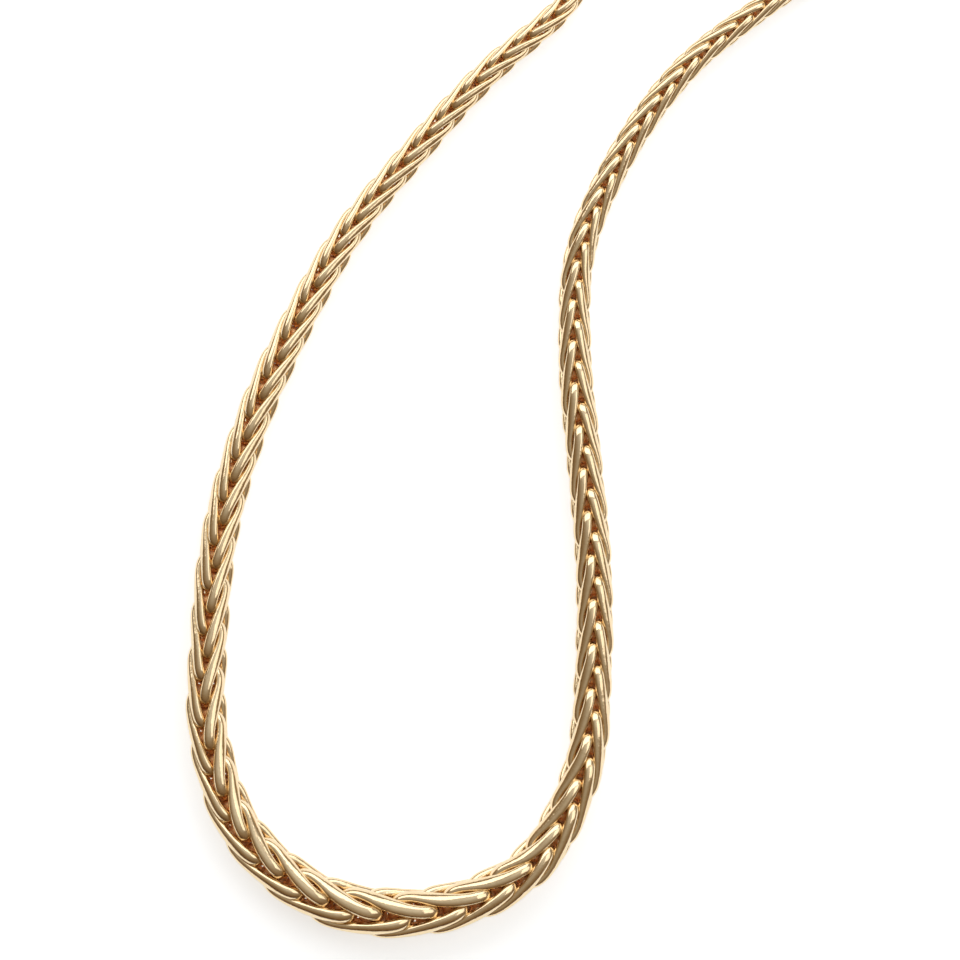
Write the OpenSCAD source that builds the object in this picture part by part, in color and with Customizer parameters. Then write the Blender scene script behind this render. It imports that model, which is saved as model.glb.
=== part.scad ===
// Graduated wheat chain necklace, lying in a closed loop.
// Every link is an oval of wire turned a quarter between its two bends: the bend at its start
// lies flat through the core of the chain, the bend at its end stands upright there.
// Each link passes through the two links before it, and every second link is a mirror image.

/* [Chain] */
// Width of the chain at the front of the necklace, across its wires
front_width = 7.9; // [7.4:0.1:8.2]
// Width of the chain at the clasp
back_width = 3.2; // [2.9:0.1:3.6]
// Wire thickness, as a share of the width of the chain
wire_share = 0.235; // [0.22:0.005:0.24]
// Free space between neighbouring wires at the front
front_gap = 0.39; // [0.37:0.01:0.5]
// Free space between neighbouring wires at the clasp
back_gap = 0.43; // [0.41:0.01:0.5]

/* [Clasp] */
// Length of the barrel clasp
clasp_length = 13; // [12:0.5:14]
// Wall of the clasp around the end links
clasp_wall = 0.6; // [0.4:0.05:0.9]
// Depth of the cup that takes the chain at each end of the clasp
cup_depth = 2.8; // [2.2:0.1:3.2]
// Free space around the end links in their cups
cup_clearance = 0.2; // [0.16:0.01:0.3]
// Rounding of the rims of the clasp
rim_round = 0.25; // [0.1:0.05:0.35]
// Width of the seam round the middle of the clasp
seam_width = 0.4; // [0.2:0.05:0.8]
// Depth of the seam
seam_depth = 0.25; // [0.1:0.05:0.4]

/* [Hidden] */

// Centre line of the necklace seen from above, in mm. It starts at the middle of the clasp, goes
// down the left strand, round the front at the bottom, up the right strand and back
route = [
    [26.5, 86], [20.5, 84],
    [16, 82], [12.5, 79], [10.5, 75], [9, 69],
    [6, 60.5], [-7, 49], [-18.5, 36.5], [-29.5, 23], [-38, 8], [-45, -7.5],
    [-50, -24.5], [-52, -41.5], [-52, -59], [-46, -75], [-32.5, -85.5], [-15.5, -87],
    [0, -80], [8.5, -65], [10.5, -48], [10.5, -30.5], [9, -13.5], [7.5, 3.5],
    [8.5, 20.5], [15.5, 36.5], [26, 50.5], [39.5, 61],
    [49.5, 67.5], [54, 74.5], [53, 83], [48.5, 88.5], [41.5, 90.5], [32.5, 88]
];
// Where the widest links lie, as a share of the way round
front_share = 0.472;

// Columns: way from the front towards the clasp, part of the extra width that is left there
graduation = [
    [0, 1], [0.08, 0.87], [0.16, 0.73], [0.25, 0.62], [0.45, 0.52],
    [0.6, 0.32], [0.7, 0.26], [0.85, 0.06], [1, 0]
];
// Columns: share of the way round, how far the chain has rolled outwards on its centre line
roll_table = [
    [0, 0], [0.05, 3], [0.1, 14], [0.22, 11], [0.3, 8], [0.39, 15], [0.47, 17], [0.5, 15],
    [0.54, 5], [0.6, 6], [0.68, 2], [0.75, 3], [0.82, 3], [0.9, 0], [1, 0]
];

// One leg of a link. Columns: side and up, as shares of half the span between the centres
// of opposite wires, and along the chain as a share of the pitch
link_reach = 1.73;
leg_start = [-0.474, 0.121, 0.018];
leg_low = [-1.063, 0.317, 0.409];
leg_middle = [-0.786, 0.786, link_reach / 2];

wire_sides = 5;
route_steps = 12;
direction_step = 1;
lift_length = 12;
clasp_facets = 96;

// Route: a closed spline through the points, as a table of its length so far

function spline(a, b, c, d, t) =
    (2 * b + (c - a) * t + (2 * a - 5 * b + 4 * c - d) * t * t
        + (3 * b - a - 3 * c + d) * t * t * t) / 2;

function route_point(i) = route[(i + len(route)) % len(route)];

fine_route = [
    for (i = [0 : len(route) - 1])
        for (step = [0 : route_steps - 1])
            spline(route_point(i - 1), route_point(i), route_point(i + 1), route_point(i + 2),
                step / route_steps),
    route[0]
];

fine_length = [
    for (i = 0, sum = 0;
         i < len(fine_route);
         sum = sum + (i + 1 < len(fine_route) ? norm(fine_route[i + 1] - fine_route[i]) : 0),
         i = i + 1)
        sum
];

route_length = fine_length[len(fine_length) - 1];
x_table = [for (i = [0 : len(fine_route) - 1]) [fine_length[i], fine_route[i][0]]];
y_table = [for (i = [0 : len(fine_route) - 1]) [fine_length[i], fine_route[i][1]]];

function centre_at(s) = [lookup(s, x_table), lookup(s, y_table)];

function unit(v) = v / norm(v);

function direction_at(s) = unit(centre_at(s + direction_step) - centre_at(s - direction_step));

// Sizes along the chain, at the distance s from the clasp

function width_share(s) =
    lookup(abs(s - front_share * route_length) / (route_length / 2), graduation);

function width_at(s) = back_width + (front_width - back_width) * width_share(s);

function wire_at(s) = wire_share * width_at(s);

function half_span_at(s) = (width_at(s) - wire_at(s)) / 2;

function gap_at(s) = back_gap + (front_gap - back_gap) * width_share(s);

function pitch_at(s) = 4 * (wire_at(s) + gap_at(s));

function roll_at(s) = lookup(s / route_length, roll_table);

// The end links reach a little into the cups of the clasp
cup_radius = norm([leg_low[0], leg_low[1]]) * half_span_at(0) + wire_at(0) / 2 + cup_clearance;
clasp_radius = cup_radius + clasp_wall;
cup_floor = clasp_length / 2 - cup_depth;

// The chain lies on the floor, and rises to the middle of the clasp near its cups

function lying_height(s) =
    half_span_at(s) * max(
        leg_low[1] * sin(roll_at(s)) - leg_low[0] * cos(roll_at(s)),
        leg_middle[1] * (cos(roll_at(s)) + sin(roll_at(s)))
    ) + wire_at(s) / 2;

function eased(t) = t * t * (3 - 2 * t);

function near_clasp(s) =
    1 - eased(min(1, max(0, min(s, route_length - s) - clasp_length / 2) / lift_length));

function height_at(s) =
    lying_height(s) + (max(clasp_radius, lying_height(s)) - lying_height(s)) * near_clasp(s);

// A point of the chain from its place along the route, out to the side and up
function placed(s, side, up) =
    let (
        direction = direction_at(s),
        outward = [direction[1], -direction[0]],
        roll = roll_at(s),
        flat = centre_at(s) + outward * (side * cos(roll) + up * sin(roll))
    )
    [flat[0], flat[1], height_at(s) + up * cos(roll) - side * sin(roll)];

// Links start half a pitch apart, spread evenly enough to end inside the second cup
cup_start = cup_floor + cup_clearance + wire_at(0) / 2;
first_start = cup_start;
last_start = route_length - cup_start - link_reach * pitch_at(route_length);
stepped_starts = [for (s = first_start; s < last_start; s = s + pitch_at(s) / 2) s];
link_count = len(stepped_starts);
stretch = (last_start - first_start) / (stepped_starts[link_count - 1] - first_start);
link_starts = [for (s = stepped_starts) first_start + (s - first_start) * stretch];
front_link = len([for (s = link_starts) if (s < front_share * route_length) s]);

// One link: ten rings of wire round a closed path

function turned(q) = [-q[1], -q[0], link_reach - q[2]];

function opposite(q) = [-q[0], -q[1], q[2]];

half_link = [leg_start, leg_low, leg_middle, turned(leg_low), turned(leg_start)];
link_nodes = concat(half_link, [for (i = [len(half_link) - 1 : -1 : 0]) opposite(half_link[i])]);

function wire_ring(before, here, after, axis_point, radius) =
    let (
        along = unit(unit(after - here) + unit(here - before)),
        radial = here - axis_point,
        out = unit(radial - along * (radial * along)),
        across = cross(along, out)
    )
    [for (i = [0 : wire_sides - 1])
        let (angle = 360 * i / wire_sides)
        here + radius * (cos(angle) * out + sin(angle) * across)];

module link(index) {
    start = link_starts[index];
    pitch = pitch_at(start) * stretch;
    hand = index % 2 == 0 ? 1 : -1;
    count = len(link_nodes);
    stations = [for (q = link_nodes) start + q[2] * pitch];
    path = [for (j = [0 : count - 1])
        placed(stations[j], hand * link_nodes[j][0] * half_span_at(stations[j]),
            link_nodes[j][1] * half_span_at(stations[j]))];
    core = [for (s = stations) placed(s, 0, 0)];
    rings = [for (j = [0 : count - 1])
        wire_ring(path[(j + count - 1) % count], path[j], path[(j + 1) % count],
            core[j], wire_at(stations[j]) / 2)];
    faces = [
        for (j = [0 : count - 1])
            for (i = [0 : wire_sides - 1])
                let (
                    next_ring = (j + 1) % count,
                    next_side = (i + 1) % wire_sides,
                    a = j * wire_sides + i,
                    b = next_ring * wire_sides + i,
                    c = next_ring * wire_sides + next_side,
                    d = j * wire_sides + next_side
                )
                each [[a, b, c], [a, c, d]]
    ];
    polyhedron(points = [for (ring = rings) each ring], faces = faces);
}

module chain_left() {
    color("goldenrod")
        for (index = [0 : front_link - 1])
            link(index);
}

module chain_right() {
    color("goldenrod")
        for (index = [front_link : link_count - 1])
            link(index);
}

// Barrel clasp: a plain turned body with a blind cup at each end and a seam round its middle

module clasp() {
    end = clasp_length / 2;
    heading = direction_at(0);
    color("darkgoldenrod")
        translate([route[0][0], route[0][1], clasp_radius])
            rotate([90, 0, atan2(heading[1], heading[0]) + 90])
                rotate_extrude($fn = clasp_facets)
                    polygon([
                        [0, -cup_floor],
                        [cup_radius, -cup_floor],
                        [cup_radius, -end],
                        [clasp_radius - rim_round, -end],
                        [clasp_radius, rim_round - end],
                        [clasp_radius, -seam_width / 2],
                        [clasp_radius - seam_depth, 0],
                        [clasp_radius, seam_width / 2],
                        [clasp_radius, end - rim_round],
                        [clasp_radius - rim_round, end],
                        [cup_radius, end],
                        [cup_radius, cup_floor],
                        [0, cup_floor]
                    ]);
}

chain_left();
chain_right();
clasp();
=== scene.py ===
"""Graduated wheat chain necklace in polished gold, lying in a closed loop on a pale table."""

import math

import bpy
import numpy as np
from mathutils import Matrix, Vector


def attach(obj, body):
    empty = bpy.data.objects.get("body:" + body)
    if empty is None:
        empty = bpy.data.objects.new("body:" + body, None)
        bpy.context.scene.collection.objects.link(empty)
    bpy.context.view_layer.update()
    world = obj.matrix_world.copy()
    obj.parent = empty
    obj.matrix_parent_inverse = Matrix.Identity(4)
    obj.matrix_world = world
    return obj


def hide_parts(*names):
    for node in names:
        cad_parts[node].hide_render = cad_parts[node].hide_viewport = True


bl_info = {
    "name": "Wheat Chain Necklace",
    "version": (1, 0, 0),
    "blender": (4, 5, 0),
    "location": "View3D > Sidebar > Necklace",
    "description": "Builds a graduated wheat chain necklace with its barrel clasp and a photo stage",
    "category": "Add Mesh",
}

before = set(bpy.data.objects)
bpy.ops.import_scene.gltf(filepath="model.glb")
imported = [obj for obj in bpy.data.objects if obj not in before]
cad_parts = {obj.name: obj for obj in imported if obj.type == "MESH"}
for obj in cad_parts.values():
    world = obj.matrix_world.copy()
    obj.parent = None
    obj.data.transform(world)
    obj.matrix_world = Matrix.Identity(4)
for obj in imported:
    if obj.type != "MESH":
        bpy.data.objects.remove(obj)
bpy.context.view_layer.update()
MM = 0.001

# Centre line of the necklace seen from above, in mm. It starts at the middle of the clasp, goes
# down the left strand, round the front at the bottom, up the right strand and back
ROUTE_MM = [
    (26.5, 86), (20.5, 84),
    (16, 82), (12.5, 79), (10.5, 75), (9, 69),
    (6, 60.5), (-7, 49), (-18.5, 36.5), (-29.5, 23), (-38, 8), (-45, -7.5),
    (-50, -24.5), (-52, -41.5), (-52, -59), (-46, -75), (-32.5, -85.5), (-15.5, -87),
    (0, -80), (8.5, -65), (10.5, -48), (10.5, -30.5), (9, -13.5), (7.5, 3.5),
    (8.5, 20.5), (15.5, 36.5), (26, 50.5), (39.5, 61),
    (49.5, 67.5), (54, 74.5), (53, 83), (48.5, 88.5), (41.5, 90.5), (32.5, 88),
]
# Steps of the spline from one point of the route to the next
ROUTE_STEPS = 40
# A heading is taken from this far behind to this far ahead
DIRECTION_STEP = 1 * MM
# Where the widest links lie, as a share of the way round
FRONT_SHARE = 0.472
# Columns: way from the front towards the clasp, part of the extra width that is left there
GRADUATION = [
    (0, 1), (0.08, 0.87), (0.16, 0.73), (0.25, 0.62), (0.45, 0.52),
    (0.6, 0.32), (0.7, 0.26), (0.85, 0.06), (1, 0),
]
# Columns: share of the way round, degrees that the chain has rolled outwards
ROLL_DEGREES = [
    (0, 0), (0.05, 3), (0.1, 14), (0.22, 11), (0.3, 8), (0.39, 15), (0.47, 17), (0.5, 15),
    (0.54, 5), (0.6, 6), (0.68, 2), (0.75, 3), (0.82, 3), (0.9, 0), (1, 0),
]

# Length of a link from bend to bend, as a share of the pitch
LINK_REACH = 1.73
# One leg of a link, as the pull points of its smooth curve. Columns: side and up, as shares of
# half the span between the centres of opposite wires, along, as a share of the pitch, and how
# broad and how deep the wire is, as shares of the chain's width
LEG_PULL_POINTS = [
    (0, 0, 0, 0.34, 0.45),
    (-0.66, 0.17, 0.015, 0.33, 0.36),
    (-1.085, 0.31, 0.22, 0.28, 0.23),
    (-0.96, 0.52, 0.55, 0.3, 0.22),
    (-0.754, 0.754, LINK_REACH / 2, 0.33, 0.22),
]
# Rings of the wire from one pull point to the next
CURVE_STEPS = 5
# How flat the faces of the wire are: 2 is an oval, more is flatter with fuller edges
FLATNESS = 2.4
# Pitch over width at which the bends have the breadth given above. Where the pitch is longer they
# are broader, and where it is shorter narrower, which keeps the core of the chain closed
CLOSE_PITCH = 1.1
# How far from the core, in half spans, a bend still grows with the pitch
CORE_REACH = 1.2
# Nearer to the core than about this, the wire is deep at right angles to the chain
CORE_TURN = 0.2 * MM
# Part of the breadth that the middle of the legs loses towards the clasp
BACK_SLIMMING = 0.1
# Where the painted shade and the roughness in the recesses are full and where they end, as shares of
# the half span
RECESS_START = 0.8
RECESS_END = 1.0
# Outermost place of the solid links of the frame, which the cups of the clasp clear
SOLID_LEG_LOW = (-1.063, 0.317)
# Way over which the chain rises from the table to the middle of the clasp
LIFT_LENGTH = 12 * MM

# Patches of warmer gold: how wide they are, and what they leave of its red, green and blue
WARM_PATCH = 3 * MM
WARM_SHARES = (0.93, 0.88, 0.8)
# Haze left by tumble polishing, and the roughness from clear to hazy. The real haze is finer
# than the render shows, so it is drawn coarser
HAZE_GRAIN = 0.6 * MM
CLEAR_ROUGHNESS = 0.1
HAZY_ROUGHNESS = 0.2
# Range that the values of a noise pattern rarely leave
NOISE_RANGE = (0.3, 0.75)
# Shallow dents from drawing and bending the wire
DENT_WIDTH = 1.3 * MM
DENT_DEPTH = 0.08 * MM
DENT_STRENGTH = 0.6
# Painted reddish shade in the recesses: a tint that stands in for shade and light bounced between
# the links. Its red is full, and its green and blue are these shares of the gold's. There the gold
# is also rougher, as polishing doesn't reach it
PAINTED_SHADE_GREEN_SHARE = 0.85
PAINTED_SHADE_BLUE_SHARE = 0.62
RECESS_ROUGHNESS = 0.6

# Frosting of the table's face, drawn coarser than it is
FROST_GRAIN = 0.8 * MM
FROST_DEPTH = 0.02 * MM

# Columns: how far towards the bright side of the tent, 0 to 1, and its colour there
TENT_TONES = [
    (0, "#3E2D1C"), (0.42, "#56412B"), (0.55, "#79634A"), (0.72, "#8A7A65"),
    (0.85, "#9C9386"), (0.95, "#B2ACA4"), (1, "#D6D5D2"),
]


def linear(hex_colour):
    """Turns an sRGB hex colour into the linear values that the shaders take."""
    values = [int(hex_colour[i:i + 2], 16) / 255 for i in (1, 3, 5)]
    return tuple(v / 12.92 if v <= 0.04045 else ((v + 0.055) / 1.055) ** 2.4 for v in values)


class ChainSettings(bpy.types.PropertyGroup):
    """Sizes and finish of the chain."""

    front_width: bpy.props.FloatProperty(
        name="Front Width", description="Width of the chain at the front",
        default=7.9 * MM, unit="LENGTH")
    back_width: bpy.props.FloatProperty(
        name="Back Width", description="Width of the chain at the clasp",
        default=3.2 * MM, unit="LENGTH")
    seat_share: bpy.props.FloatProperty(
        name="Seat Share", description="Wire share of the solids in the frame, which sets the pitch",
        default=0.235, subtype="FACTOR")
    front_gap: bpy.props.FloatProperty(
        name="Front Gap", description="Free space between neighbouring wires at the front",
        default=0.39 * MM, unit="LENGTH")
    back_gap: bpy.props.FloatProperty(
        name="Back Gap", description="Free space between neighbouring wires at the clasp",
        default=0.43 * MM, unit="LENGTH")
    wire_sides: bpy.props.IntProperty(
        name="Wire Sides", description="Faces round the wire", default=16)
    sway: bpy.props.FloatProperty(
        name="Sway", description="How far links turn out of line by chance",
        default=math.radians(1.5), subtype="ANGLE")
    seed: bpy.props.IntProperty(name="Seed", description="Start of the random draws", default=7)
    gold: bpy.props.FloatVectorProperty(
        name="Gold", description="Colour of the polished gold",
        default=linear("#F3DEBA"), subtype="COLOR")


class ClaspSettings(bpy.types.PropertyGroup):
    """Sizes and finish of the clasp."""

    length: bpy.props.FloatProperty(
        name="Length", description="Length of the barrel", default=13 * MM, unit="LENGTH")
    wall: bpy.props.FloatProperty(
        name="Wall", description="Wall around the end links", default=0.6 * MM, unit="LENGTH")
    cup_depth: bpy.props.FloatProperty(
        name="Cup Depth", description="Depth of the cup at each end",
        default=2.8 * MM, unit="LENGTH")
    clearance: bpy.props.FloatProperty(
        name="Clearance", description="Free space around the end links in their cups",
        default=0.2 * MM, unit="LENGTH")
    rim_round: bpy.props.FloatProperty(
        name="Rim Round", description="Rounding of the rims", default=0.25 * MM, unit="LENGTH")
    seam_width: bpy.props.FloatProperty(
        name="Seam Width", description="Width of the seam round the middle",
        default=0.4 * MM, unit="LENGTH")
    seam_depth: bpy.props.FloatProperty(
        name="Seam Depth", description="Depth of the seam", default=0.25 * MM, unit="LENGTH")
    gold: bpy.props.FloatVectorProperty(
        name="Gold", description="Colour of the clasp's gold",
        default=linear("#F2DBB3"), subtype="COLOR")


class StageSettings(bpy.types.PropertyGroup):
    """Table, lights and camera."""

    table: bpy.props.FloatVectorProperty(
        name="Table", description="Colour of the table", default=linear("#F2F6FA"),
        subtype="COLOR")
    view_width: bpy.props.FloatProperty(
        name="View Width", description="Width of the picture at the height of the chain's middle",
        default=156.1 * MM, unit="LENGTH")
    view_centre: bpy.props.FloatVectorProperty(
        name="View Centre", description="Middle of the picture, at the height of the chain's middle",
        default=(-7.95 * MM, -17.05 * MM, 4 * MM), subtype="XYZ", unit="LENGTH")
    camera_height: bpy.props.FloatProperty(
        name="Camera Height", description="Height of the camera above the table",
        default=0.9, unit="LENGTH")
    table_glow: bpy.props.FloatProperty(
        name="Table Glow", description="Light that comes through the table from below",
        default=0.58)
    key_power: bpy.props.FloatProperty(
        name="Key Power", description="Power of the large softbox", default=3.2, unit="POWER")
    key_direction: bpy.props.FloatVectorProperty(
        name="Key Direction", description="Direction from the necklace to the large softbox",
        default=(-0.12, 0.77, 0.64), subtype="DIRECTION")
    key_size: bpy.props.FloatVectorProperty(
        name="Key Size", description="Width and height of the large softbox", size=2,
        default=(1.35, 0.5), unit="LENGTH")
    side_power: bpy.props.FloatProperty(
        name="Side Power", description="Power of the small softbox", default=0.8, unit="POWER")
    side_direction: bpy.props.FloatVectorProperty(
        name="Side Direction", description="Direction from the necklace to the small softbox",
        default=(0.68, 0.1, 0.72), subtype="DIRECTION")
    side_size: bpy.props.FloatVectorProperty(
        name="Side Size", description="Width and height of the small softbox", size=2,
        default=(0.5, 0.5), unit="LENGTH")
    softbox_distance: bpy.props.FloatProperty(
        name="Softbox Distance", description="Distance of both softboxes", default=0.7,
        unit="LENGTH")
    tent_direction: bpy.props.FloatVectorProperty(
        name="Tent Direction", description="Direction to the brightest part of the tent",
        default=(0.16, 0.38, 0.91), subtype="DIRECTION")
    tent_power: bpy.props.FloatProperty(
        name="Tent Power", description="Strength of the light from the tent", default=1.1)


def spline_route():
    """The closed spline through the route's points, as its length so far and its points."""
    points = np.array(ROUTE_MM) * MM
    before, here, after, beyond = (np.roll(points, shift, axis=0) for shift in (1, 0, -1, -2))
    share = np.arange(ROUTE_STEPS)[None, :, None] / ROUTE_STEPS
    a, b, c, d = (part[:, None, :] for part in (before, here, after, beyond))
    curve = (
        2 * b + (c - a) * share + (2 * a - 5 * b + 4 * c - d) * share ** 2
        + (3 * b - a - 3 * c + d) * share ** 3
    ) / 2
    curve = np.vstack([curve.reshape(-1, 2), points[:1]])
    steps = np.linalg.norm(np.diff(curve, axis=0), axis=1)
    return np.concatenate([[0], np.cumsum(steps)]), curve


ROUTE_LENGTH_SO_FAR, ROUTE_CURVE = spline_route()
ROUTE_LENGTH = ROUTE_LENGTH_SO_FAR[-1]


def unit(vectors):
    """The vectors at a length of 1."""
    return vectors / np.linalg.norm(vectors, axis=-1, keepdims=True)


def table_value(table, place):
    """Reads a table of two columns, straight between its rows."""
    rows = np.array(table, float)
    return np.interp(place, rows[:, 0], rows[:, 1])


def centre_at(s):
    """Point of the centre line seen from above, at the distance s from the clasp."""
    x = np.interp(s, ROUTE_LENGTH_SO_FAR, ROUTE_CURVE[:, 0])
    y = np.interp(s, ROUTE_LENGTH_SO_FAR, ROUTE_CURVE[:, 1])
    return np.stack([x, y], axis=-1)


def direction_at(s):
    """Heading of the centre line seen from above."""
    return unit(centre_at(s + DIRECTION_STEP) - centre_at(s - DIRECTION_STEP))


def link_pull_points():
    """Sixteen pull points of a link: a leg, its quarter-turned return and both turned half round."""
    turned = [
        (-up, -side, LINK_REACH - along, *section)
        for side, up, along, *section in reversed(LEG_PULL_POINTS[:-1])
    ]
    half = LEG_PULL_POINTS + turned
    other_half = [(-side, -up, *rest) for side, up, *rest in reversed(half[1:-1])]
    return np.array(half + other_half)


def closed_curve(pull_points, steps):
    """A smooth closed curve (uniform cubic B-spline) drawn towards the pull points."""
    t = np.arange(steps)[:, None] / steps
    weights = np.hstack([
        (1 - t) ** 3 / 6,
        (3 * t ** 3 - 6 * t ** 2 + 4) / 6,
        (-3 * t ** 3 + 3 * t ** 2 + 3 * t + 1) / 6,
        t ** 3 / 6,
    ])
    count = len(pull_points)
    around = [[(i + j - 1) % count for j in range(4)] for i in range(count)]
    return np.einsum("tj,ijc->itc", weights, pull_points[around]).reshape(-1, pull_points.shape[1])


class ChainSizes:
    """Sizes along the chain at the distance s from the clasp.

    They are the sizes of the solids in the frame, apart from the wire's section and height."""

    def __init__(self, chain, clasp):
        self.chain = chain
        self.clasp = clasp
        self.shape = closed_curve(link_pull_points(), CURVE_STEPS)
        corner = math.hypot(*SOLID_LEG_LOW) * self.half_span(0.0) + self.seat_wire(0.0) / 2
        self.cup_radius = corner + clasp.clearance
        self.clasp_radius = self.cup_radius + clasp.wall
        self.cup_floor = clasp.length / 2 - clasp.cup_depth

    def width_share(self, s):
        """Part of the front's extra width that the chain has."""
        return table_value(GRADUATION, np.abs(s - FRONT_SHARE * ROUTE_LENGTH) / (ROUTE_LENGTH / 2))

    def width(self, s):
        """Width of the chain across its wires."""
        chain = self.chain
        return chain.back_width + (chain.front_width - chain.back_width) * self.width_share(s)

    def seat_wire(self, s):
        """Wire thickness of the solids in the frame."""
        return self.chain.seat_share * self.width(s)

    def half_span(self, s):
        """Half the span between the centres of opposite wires."""
        return (self.width(s) - self.seat_wire(s)) / 2

    def pitch(self, s):
        """Length along the chain of two links, which start half of it apart."""
        chain = self.chain
        gap = chain.back_gap + (chain.front_gap - chain.back_gap) * self.width_share(s)
        return 4 * (self.seat_wire(s) + gap)

    def roll(self, s):
        """How far the chain has rolled outwards."""
        return np.radians(table_value(ROLL_DEGREES, s / ROUTE_LENGTH))

    def height(self, s):
        """Height of the centre line: the wire lies on the table, and the ends rise to the clasp."""
        side, up, _, _, deep_share = self.shape.T
        roll = self.roll(s)[..., None]
        below = np.abs(side) * np.sin(roll) - up * np.cos(roll)
        depth = deep_share * self.width(s)[..., None] / 2
        lying = np.max(below * self.half_span(s)[..., None] + depth, axis=-1)
        from_clasp = np.minimum(s, ROUTE_LENGTH - s) - self.clasp.length / 2
        away = np.clip(from_clasp / LIFT_LENGTH, 0, 1)
        near = 1 - away * away * (3 - 2 * away)
        return lying + (np.maximum(self.clasp_radius, lying) - lying) * near

    def link_starts(self):
        """Starts of the links, half a pitch apart, and how far they are spread to end in a cup."""
        cup_start = self.cup_floor + self.clasp.clearance + self.seat_wire(0.0) / 2
        last = ROUTE_LENGTH - cup_start - LINK_REACH * self.pitch(ROUTE_LENGTH)
        starts = [cup_start]
        while starts[-1] + self.pitch(starts[-1]) / 2 < last:
            starts.append(starts[-1] + self.pitch(starts[-1]) / 2)
        starts = np.array(starts)
        stretch = (last - cup_start) / (starts[-1] - cup_start)
        return cup_start + (starts - cup_start) * stretch, stretch

    def section(self, s):
        """How broad and how deep the wire is in links whose rings lie at the distances s."""
        side, up, along, broad_share, deep_share = self.shape.T
        width = self.width(s)
        crossing = np.clip(CORE_REACH - np.hypot(side, up), 0, 1)
        spread = self.pitch(s) / width / CLOSE_PITCH - 1
        on_leg = 1 - np.abs(along / (LINK_REACH / 2) - 1)
        slimming = BACK_SLIMMING * (1 - self.width_share(s))
        broad = broad_share * width * (1 + crossing * spread - on_leg * slimming)
        return broad, deep_share * width


def placed(sizes, s, side, up, extra_roll):
    """Points of the chain from their places along the route, out to the side and up."""
    ahead = direction_at(s)
    outward = np.stack([ahead[..., 1], -ahead[..., 0]], axis=-1)
    roll = sizes.roll(s) + extra_roll
    flat = centre_at(s) + outward * (side * np.cos(roll) + up * np.sin(roll))[..., None]
    height = sizes.height(s) + up * np.cos(roll) - side * np.sin(roll)
    return np.concatenate([flat, height[..., None]], axis=-1)


def least_turned(along):
    """A direction out of each closed wire that turns no more than it must.

    Also gives the angle that is left over where the wire closes."""
    rings = along.shape[1]
    first = unit(np.cross(along[:, 0], [0.0, 0.0, 1.0]))
    out = np.zeros_like(along)
    out[:, 0] = first
    for ring in range(1, rings + 1):
        here = along[:, ring % rings]
        last = out[:, ring - 1]
        turned = unit(last - here * np.sum(last * here, axis=1, keepdims=True))
        if ring < rings:
            out[:, ring] = turned
    closing = np.sum(np.cross(turned, first) * along[:, 0], axis=1)
    return out, np.arctan2(closing, np.sum(turned * first, axis=1))


def ring_quads(links, rings, sides):
    """Four-sided faces between the rings of closed wires."""
    here = np.arange(rings)[:, None] * sides + np.arange(sides)[None, :]
    beside = np.roll(here, -1, axis=1)
    ahead = np.roll(here, -1, axis=0)
    opposite = np.roll(beside, -1, axis=0)
    quads = np.stack([here, beside, opposite, ahead], axis=-1).reshape(-1, 4)
    shift = np.arange(links)[:, None, None] * rings * sides
    return (quads[None] + shift).reshape(-1, 4)


def wire_mesh(centres, core, chain_along, broad, deep, sides):
    """Wire along closed centre lines (link, ring, xyz), as points and four-sided faces.

    The wire is broad round the core of the chain and deep towards it. Where a bend crosses the
    core it is deep at right angles to the chain."""
    links, rings, _ = centres.shape
    along = unit(np.roll(centres, -1, axis=1) - np.roll(centres, 1, axis=1))
    out, twist = least_turned(along)
    across = np.cross(along, out)
    angle = (
        2 * np.pi * np.arange(sides)[None, None, :] / sides
        + (twist[:, None] * np.arange(rings)[None, :] / rings)[..., None]
    )
    rim = (
        np.cos(angle)[..., None] * out[:, :, None, :]
        + np.sin(angle)[..., None] * across[:, :, None, :]
    )
    from_core = centres - core
    from_core -= along * np.sum(from_core * along, axis=2, keepdims=True)
    level = np.cross(along, chain_along)
    level *= np.where(np.sum(level * from_core, axis=2, keepdims=True) < 0, -1, 1)
    inward = unit(from_core + level * CORE_TURN)[:, :, None, :]
    depth = np.sum(rim * inward, axis=3, keepdims=True)
    breadth = np.sqrt(np.maximum(1 - depth ** 2, 0))
    fullness = (np.abs(depth) ** FLATNESS + breadth ** FLATNESS) ** (-1 / FLATNESS)
    half_broad = broad[:, :, None, None] / 2
    half_deep = deep[:, :, None, None] / 2
    offset = half_broad * rim + (half_deep - half_broad) * depth * inward
    points = centres[:, :, None, :] + fullness * offset
    return points.reshape(-1, 3), ring_quads(links, rings, sides)


def mesh_piece(name, points, quads, material, recess=None):
    """A smooth mesh object from arrays of points and four-sided faces.

    Recess says for each point how deep it lies inside the chain, from 0 to 1, and masks the painted
    shade in the recesses."""
    mesh = bpy.data.meshes.new(name)
    mesh.vertices.add(len(points))
    mesh.vertices.foreach_set("co", np.ascontiguousarray(points, np.float32).ravel())
    mesh.loops.add(quads.size)
    mesh.loops.foreach_set("vertex_index", quads.astype(np.int32).ravel())
    mesh.polygons.add(len(quads))
    mesh.polygons.foreach_set("loop_start", np.arange(0, quads.size, 4, dtype=np.int32))
    mesh.update(calc_edges=True)
    mesh.polygons.foreach_set("use_smooth", np.ones(len(quads), bool))
    mesh.materials.append(material)
    if recess is not None:
        mesh.attributes.new("recess", "FLOAT", "POINT").data.foreach_set(
            "value", recess.astype(np.float32).ravel())
    piece = bpy.data.objects.new(name, mesh)
    bpy.context.scene.collection.objects.link(piece)
    return piece


def add_node(owner, kind, settings=None, links=None):
    """Adds a node to a material or world, sets its attributes and sockets and links its inputs."""
    node = owner.node_tree.nodes.new(kind)
    for key, value in (settings or {}).items():
        if isinstance(key, int) or key in node.inputs:
            node.inputs[key].default_value = value
        else:
            setattr(node, key, value)
    for key, source in (links or {}).items():
        owner.node_tree.links.new(source, node.inputs[key])
    return node


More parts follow.
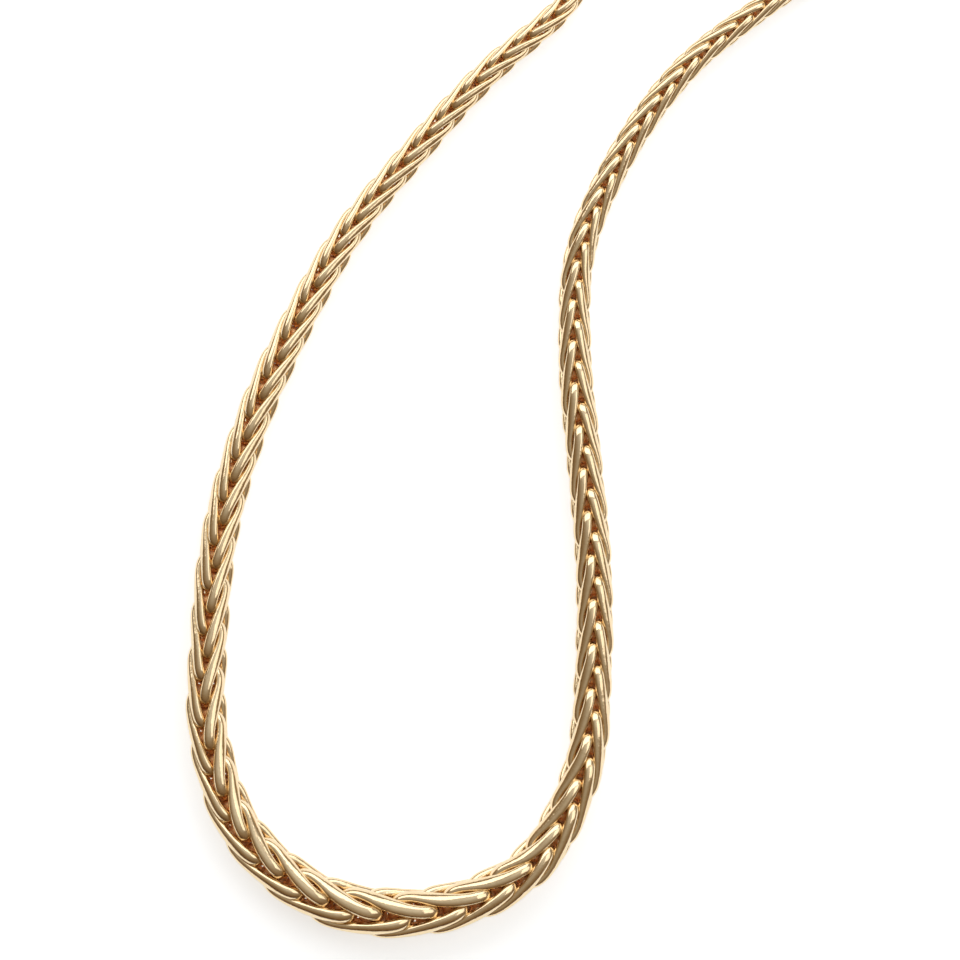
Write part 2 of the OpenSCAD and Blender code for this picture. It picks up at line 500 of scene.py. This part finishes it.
def new_material(name):
    """A material with no nodes yet."""
    material = bpy.data.materials.new(name)
    material.use_nodes = True
    material.node_tree.nodes.clear()
    return material


def polished_gold(name, colour):
    """14 karat yellow gold, drawn as wire or turned, then tumble polished.

    The eye gets a bright mirror with soft haze and wavy reflections. Deep between the links the gold
    is rougher, and its colour is tinted reddish: a painted shade that stands in for the shade and
    the light bounced between the links. A piece without the recess attribute has no painted shade."""
    material = new_material(name)
    place = add_node(material, "ShaderNodeTexCoord").outputs["Object"]
    patches = add_node(material, "ShaderNodeTexNoise", {"Scale": 1 / WARM_PATCH, "Detail": 3.0},
                       {"Vector": place})
    warm_colour = [part * share for part, share in zip(colour, WARM_SHARES)]
    warm = add_node(material, "ShaderNodeMix", {
        "data_type": "RGBA", 6: (*colour, 1), 7: (*warm_colour, 1),
    }, {0: patches.outputs["Fac"]})
    # Depth inside the chain: the mask of the painted reddish shade and of the rougher recesses
    recess = add_node(material, "ShaderNodeAttribute", {"attribute_name": "recess"})
    painted_shade_colour = (1.0, colour[1] * PAINTED_SHADE_GREEN_SHARE, colour[2] * PAINTED_SHADE_BLUE_SHARE, 1)
    shade_painted = add_node(material, "ShaderNodeMix", {"data_type": "RGBA", 7: painted_shade_colour},
                      {0: recess.outputs["Fac"], 6: warm.outputs[2]})
    haze = add_node(material, "ShaderNodeTexNoise", {"Scale": 1 / HAZE_GRAIN, "Detail": 5.0},
                    {"Vector": place})
    gloss = add_node(material, "ShaderNodeMapRange", {
        "From Min": NOISE_RANGE[0], "From Max": NOISE_RANGE[1],
        "To Min": CLEAR_ROUGHNESS, "To Max": HAZY_ROUGHNESS,
    }, {"Value": haze.outputs["Fac"]})
    dulled = add_node(material, "ShaderNodeMix", {"data_type": "FLOAT", 3: RECESS_ROUGHNESS},
                      {0: recess.outputs["Fac"], 2: gloss.outputs["Result"]})
    dents = add_node(material, "ShaderNodeTexNoise", {"Scale": 1 / DENT_WIDTH, "Detail": 3.0},
                     {"Vector": place})
    bump = add_node(material, "ShaderNodeBump", {
        "Strength": DENT_STRENGTH, "Distance": DENT_DEPTH}, {"Height": dents.outputs["Fac"]})
    shader = add_node(material, "ShaderNodeBsdfPrincipled", {"Metallic": 1.0}, {
        "Base Color": shade_painted.outputs[2],
        "Roughness": dulled.outputs[0],
        "Normal": bump.outputs["Normal"],
    })
    add_node(material, "ShaderNodeOutputMaterial", None, {"Surface": shader.outputs["BSDF"]})
    return material


def light_table(name, colour, glow):
    """White cast acrylic with a frosted face, lit from below: matt, plain and nearly white."""
    material = new_material(name)
    place = add_node(material, "ShaderNodeTexCoord").outputs["Object"]
    frost = add_node(material, "ShaderNodeTexNoise", {"Scale": 1 / FROST_GRAIN, "Detail": 4.0},
                     {"Vector": place})
    bump = add_node(material, "ShaderNodeBump", {"Strength": 0.05, "Distance": FROST_DEPTH},
                    {"Height": frost.outputs["Fac"]})
    shader = add_node(material, "ShaderNodeBsdfPrincipled", {
        "Base Color": (*colour, 1), "Roughness": 0.8,
        "Emission Color": (*colour, 1), "Emission Strength": glow,
    }, {"Normal": bump.outputs["Normal"]})
    add_node(material, "ShaderNodeOutputMaterial", None, {"Surface": shader.outputs["BSDF"]})
    return material


class NECKLACE_OT_chain(bpy.types.Operator):
    """Builds both halves of the wheat chain, link through link"""

    bl_idname = "necklace.chain"
    bl_label = "Wheat Chain"

    def execute(self, context):
        chain = context.scene.necklace_chain
        sizes = ChainSizes(chain, context.scene.necklace_clasp)
        starts, stretch = sizes.link_starts()
        chance = np.random.RandomState(chain.seed)
        sway = chance.normal(0, chain.sway, len(starts))[:, None]
        side, up, along, _, _ = sizes.shape.T
        hands = np.where(np.arange(len(starts)) % 2 == 0, 1.0, -1.0)[:, None]
        s = starts[:, None] + along * (sizes.pitch(starts) * stretch)[:, None]
        half_span = sizes.half_span(s)
        centres = placed(sizes, s, hands * side * half_span, up * half_span, sway)
        core = placed(sizes, s, np.zeros_like(s), np.zeros_like(s), sway)
        ahead = direction_at(s)
        chain_along = np.concatenate([ahead, np.zeros_like(ahead[..., :1])], axis=-1)
        broad, deep = sizes.section(s)
        gold = polished_gold("tumbled_yellow_gold_wire", chain.gold)
        left = starts < FRONT_SHARE * ROUTE_LENGTH
        for name, chosen in (("chain_left", left), ("chain_right", ~left)):
            points, quads = wire_mesh(
                centres[chosen], core[chosen], chain_along[chosen], broad[chosen], deep[chosen],
                chain.wire_sides)
            # How deep each point lies inside the chain, which masks the painted shade in the
            # recesses
            outward = points.reshape(-1, chain.wire_sides, 3) - core[chosen].reshape(-1, 1, 3)
            outward = np.linalg.norm(outward, axis=2) / half_span[chosen].reshape(-1, 1)
            recess = np.clip((RECESS_END - outward) / (RECESS_END - RECESS_START), 0, 1)
            piece = mesh_piece(name + "_links", points, quads, gold, recess)
            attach(piece, "root")
            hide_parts(name)
        return {"FINISHED"}


class NECKLACE_OT_clasp(bpy.types.Operator):
    """Builds the turned barrel clasp with a cup at each end"""

    bl_idname = "necklace.clasp"
    bl_label = "Barrel Clasp"

    TURN_STEPS = 96
    RIM_STEPS = 6
    # Point on the side of the seam, as shares of its width and depth
    SEAM_SIDE = (0.25, 0.8)
    # Bevel inside the rim, as a share of its rounding
    INNER_BEVEL = 0.3

    def half_profile(self, sizes, clasp):
        """Distance from the middle and radius, from the seam to the floor of the cup."""
        end = clasp.length / 2
        rim = clasp.rim_round
        outer = sizes.clasp_radius
        inner = sizes.cup_radius
        rows = [
            (0, outer - clasp.seam_depth),
            (clasp.seam_width * self.SEAM_SIDE[0], outer - clasp.seam_depth * self.SEAM_SIDE[1]),
            (clasp.seam_width / 2, outer),
        ]
        for step in range(self.RIM_STEPS + 1):
            angle = math.pi / 2 * step / self.RIM_STEPS
            rows.append((end - rim + rim * math.sin(angle), outer - rim + rim * math.cos(angle)))
        rows.append((end, inner + rim * self.INNER_BEVEL))
        rows.append((end - rim * self.INNER_BEVEL, inner))
        rows.append((sizes.cup_floor, inner))
        rows.append((sizes.cup_floor, 0.0))
        return rows

    def execute(self, context):
        clasp = context.scene.necklace_clasp
        sizes = ChainSizes(context.scene.necklace_chain, clasp)
        half = self.half_profile(sizes, clasp)
        rows = [(-place, radius) for place, radius in reversed(half[1:])] + half
        # A little past the start, where the route has points behind and ahead
        heading = direction_at(np.array([DIRECTION_STEP * 2]))[0]
        along = np.array([heading[0], heading[1], 0.0])
        across = np.array([heading[1], -heading[0], 0.0])
        up = np.array([0.0, 0.0, 1.0])
        middle = np.array([*ROUTE_CURVE[0], sizes.clasp_radius])
        turn = 2 * np.pi * np.arange(self.TURN_STEPS) / self.TURN_STEPS
        rings = [
            middle + place * along
            + radius * (np.cos(turn)[:, None] * across + np.sin(turn)[:, None] * up)
            for place, radius in rows
        ]
        here = (
            np.arange(len(rows) - 1)[:, None] * self.TURN_STEPS
            + np.arange(self.TURN_STEPS)[None, :]
        )
        beside = np.roll(here, -1, axis=1)
        quads = np.stack(
            [here, here + self.TURN_STEPS, beside + self.TURN_STEPS, beside], axis=-1)
        gold = polished_gold("turned_yellow_gold", clasp.gold)
        piece = mesh_piece("barrel_clasp", np.vstack(rings), quads.reshape(-1, 4), gold)
        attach(piece, "root")
        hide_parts("clasp")
        return {"FINISHED"}


def softbox(name, place, target, size, power, colour):
    """A softbox: an even rectangle of light that faces the target."""
    light = bpy.data.lights.new(name, "AREA")
    light.shape = "RECTANGLE"
    light.size, light.size_y = size
    light.energy = power
    light.color = colour
    lamp = bpy.data.objects.new(name, light)
    lamp.location = place
    lamp.rotation_euler = (Vector(target) - Vector(place)).to_track_quat("-Z", "Y").to_euler()
    bpy.context.scene.collection.objects.link(lamp)


def light_tent(direction, power):
    """White tent round the table: bright on one side, dim towards its dark opening."""
    world = bpy.data.worlds.new("light_tent")
    world.use_nodes = True
    background = world.node_tree.nodes["Background"]
    place = add_node(world, "ShaderNodeTexCoord").outputs["Generated"]
    aside = add_node(world, "ShaderNodeVectorMath", {
        "operation": "DOT_PRODUCT", 1: Vector(direction).normalized()}, {0: place})
    share = add_node(world, "ShaderNodeMapRange", {
        "From Min": -1.0, "From Max": 1.0}, {"Value": aside.outputs["Value"]})
    ramp = add_node(world, "ShaderNodeValToRGB", None, {"Fac": share.outputs["Result"]})
    ramp.color_ramp.interpolation = "B_SPLINE"
    stops = ramp.color_ramp.elements
    for stop, (position, colour) in zip(stops, (TENT_TONES[0], TENT_TONES[-1])):
        stop.position = position
        stop.color = (*linear(colour), 1)
    for position, colour in TENT_TONES[1:-1]:
        stops.new(position).color = (*linear(colour), 1)
    world.node_tree.links.new(ramp.outputs["Color"], background.inputs["Color"])
    background.inputs["Strength"].default_value = power
    return world


class NECKLACE_OT_stage(bpy.types.Operator):
    """Lays the pale table and sets the soft lights and the camera straight above it"""

    bl_idname = "necklace.stage"
    bl_label = "Table, Lights and Camera"

    # From the middle of the table to each edge
    TABLE_REACH = 4.0
    SENSOR_WIDTH = 36 * MM
    COOL_WHITE = (0.97, 0.985, 1.0)
    WHITE = (1.0, 1.0, 1.0)

    def execute(self, context):
        stage = context.scene.necklace_stage
        centre = Vector(stage.view_centre)
        reach = self.TABLE_REACH
        corners = np.array([(-reach, -reach, 0), (reach, -reach, 0), (reach, reach, 0),
                            (-reach, reach, 0)])
        acrylic = light_table("white_acrylic", stage.table, stage.table_glow)
        table = mesh_piece("table", corners, np.array([[0, 1, 2, 3]]), acrylic)

        key_direction = Vector(stage.key_direction).normalized()
        softbox("softbox", centre + key_direction * stage.softbox_distance, centre,
                stage.key_size, stage.key_power, self.COOL_WHITE)
        side_direction = Vector(stage.side_direction).normalized()
        softbox("softbox_right", centre + side_direction * stage.softbox_distance, centre,
                stage.side_size, stage.side_power, self.WHITE)
        context.scene.world = light_tent(stage.tent_direction, stage.tent_power)

        lens = bpy.data.cameras.new("camera")
        lens.sensor_width = self.SENSOR_WIDTH / MM
        distance = stage.camera_height - centre.z
        lens.lens = lens.sensor_width * distance / stage.view_width
        camera = bpy.data.objects.new("camera", lens)
        camera.location = (centre.x, centre.y, stage.camera_height)
        context.scene.collection.objects.link(camera)
        context.scene.camera = camera
        context.scene.view_settings.view_transform = "Standard"
        return {"FINISHED"}


class NECKLACE_PT_panel(bpy.types.Panel):
    """Lists the parts of the necklace in the sidebar"""

    bl_idname = "NECKLACE_PT_panel"
    bl_label = "Wheat Chain Necklace"
    bl_space_type = "VIEW_3D"
    bl_region_type = "UI"
    bl_category = "Necklace"

    def draw(self, context):
        groups = (
            (context.scene.necklace_chain, NECKLACE_OT_chain),
            (context.scene.necklace_clasp, NECKLACE_OT_clasp),
            (context.scene.necklace_stage, NECKLACE_OT_stage),
        )
        for settings, operator in groups:
            box = self.layout.box()
            for name in settings.__annotations__:
                box.prop(settings, name)
            box.operator(operator.bl_idname)


CLASSES = (
    ChainSettings, ClaspSettings, StageSettings,
    NECKLACE_OT_chain, NECKLACE_OT_clasp, NECKLACE_OT_stage, NECKLACE_PT_panel,
)


def register():
    for added in CLASSES:
        bpy.utils.register_class(added)
    bpy.types.Scene.necklace_chain = bpy.props.PointerProperty(type=ChainSettings)
    bpy.types.Scene.necklace_clasp = bpy.props.PointerProperty(type=ClaspSettings)
    bpy.types.Scene.necklace_stage = bpy.props.PointerProperty(type=StageSettings)


def unregister():
    del bpy.types.Scene.necklace_stage
    del bpy.types.Scene.necklace_clasp
    del bpy.types.Scene.necklace_chain
    for added in reversed(CLASSES):
        bpy.utils.unregister_class(added)


def main():
    register()
    bpy.ops.necklace.chain()
    bpy.ops.necklace.clasp()
    bpy.ops.necklace.stage()


if __name__ == "__main__":
    main()
